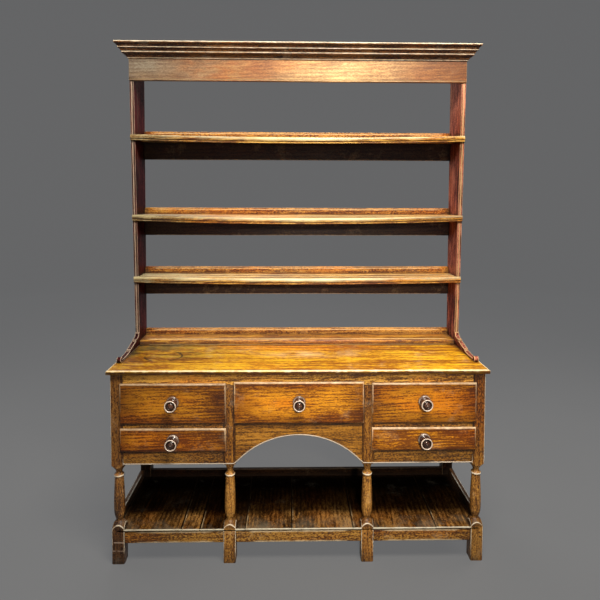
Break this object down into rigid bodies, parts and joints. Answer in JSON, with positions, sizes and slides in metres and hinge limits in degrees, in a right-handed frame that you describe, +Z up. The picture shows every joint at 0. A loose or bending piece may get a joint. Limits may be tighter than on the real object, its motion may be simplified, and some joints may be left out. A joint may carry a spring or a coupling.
{
  "type": "welsh dresser",
  "caption": "Pot-board dresser with lipped sliding drawers, turned front legs, an arched apron and an open plate rack with sagging shelves and a stepped cornice.",
  "frame": {"origin": "middle of the bounding box at floor level", "axes": "+Z up, +X to the viewer's right along the front, -Y out of the front where the drawers pull"},
  "size_m": [1.5826, 0.5146, 2.1256],
  "materials": {
    "frame": "waxed old oak, mid brown, worn pale along edges",
    "drawer": "waxed old oak, honey brown, horizontal grain",
    "top": "waxed old oak, golden brown, rubbed and ring marked",
    "rack": "waxed old oak, dark red brown with greyed front edges",
    "shelf": "waxed old oak, golden brown with pale front edge",
    "inside": "unfinished old oak, dry and dull",
    "pot_board": "dark old oak, dusty and scuffed",
    "knob": "turned hardwood, dark and glossy from handling"
  },
  "bodies": {
    "root": {"front_leg_outer_left": "frame", "front_leg_inner_left": "frame", "rear_leg_left": "frame", "divider_rail_left": "frame", "bottom_rail_left": "frame", "end_board_left": "frame", "front_leg_outer_right": "frame", "front_leg_inner_right": "frame", "rear_leg_right": "frame", "divider_rail_right": "frame", "bottom_rail_right": "frame", "end_board_right": "frame", "top_rail": "frame", "arched_apron": "frame", "pot_rail_front_left": "frame", "pot_rail_front_centre": "frame", "pot_rail_front_right": "frame", "pot_rail_end_left": "frame", "pot_rail_end_right": "frame", "pot_rail_rear": "frame", "outer_runner_board_left": "inside", "outer_runner_board_right": "inside", "inner_runner_board_left": "inside", "inner_runner_board_right": "inside", "back_board": "inside", "pot_board_1": "pot_board", "pot_board_2": "pot_board", "pot_board_3": "pot_board", "pot_board_4": "pot_board", "pot_board_5": "pot_board", "pot_board_6": "pot_board", "dresser_top": "top", "rack_side_left": "rack", "rack_side_right": "rack", "shelf_back_rail_top": "rack", "shelf_back_rail_middle": "rack", "shelf_back_rail_low": "rack", "bottom_back_rail": "rack", "rack_frieze": "rack", "cornice": "rack", "rack_top_board": "rack", "shelf_top": "shelf", "shelf_middle": "shelf", "shelf_low": "shelf", "bottom_shelf": "shelf"},
    "drawer_left_upper": {"drawer_front_left_upper": "drawer", "drawer_box_left_upper": "inside", "drawer_knob_left_upper": "knob"},
    "drawer_left_lower": {"drawer_front_left_lower": "drawer", "drawer_box_left_lower": "inside", "drawer_knob_left_lower": "knob"},
    "drawer_centre": {"drawer_front_centre": "drawer", "drawer_box_centre": "inside", "drawer_knob_centre": "knob"},
    "drawer_right_upper": {"drawer_front_right_upper": "drawer", "drawer_box_right_upper": "inside", "drawer_knob_right_upper": "knob"},
    "drawer_right_lower": {"drawer_front_right_lower": "drawer", "drawer_box_right_lower": "inside", "drawer_knob_right_lower": "knob"}
  },
  "joints": [
    {"name": "drawer_left_upper_slide", "type": "slide", "parent": "root", "child": "drawer_left_upper", "axis": [0, -1, 0], "range_m": [0, 0.3]},
    {"name": "drawer_left_lower_slide", "type": "slide", "parent": "root", "child": "drawer_left_lower", "axis": [0, -1, 0], "range_m": [0, 0.3]},
    {"name": "drawer_centre_slide", "type": "slide", "parent": "root", "child": "drawer_centre", "axis": [0, -1, 0], "range_m": [0, 0.3]},
    {"name": "drawer_right_upper_slide", "type": "slide", "parent": "root", "child": "drawer_right_upper", "axis": [0, -1, 0], "range_m": [0, 0.3]},
    {"name": "drawer_right_lower_slide", "type": "slide", "parent": "root", "child": "drawer_right_lower", "axis": [0, -1, 0], "range_m": [0, 0.3]}
  ]
}
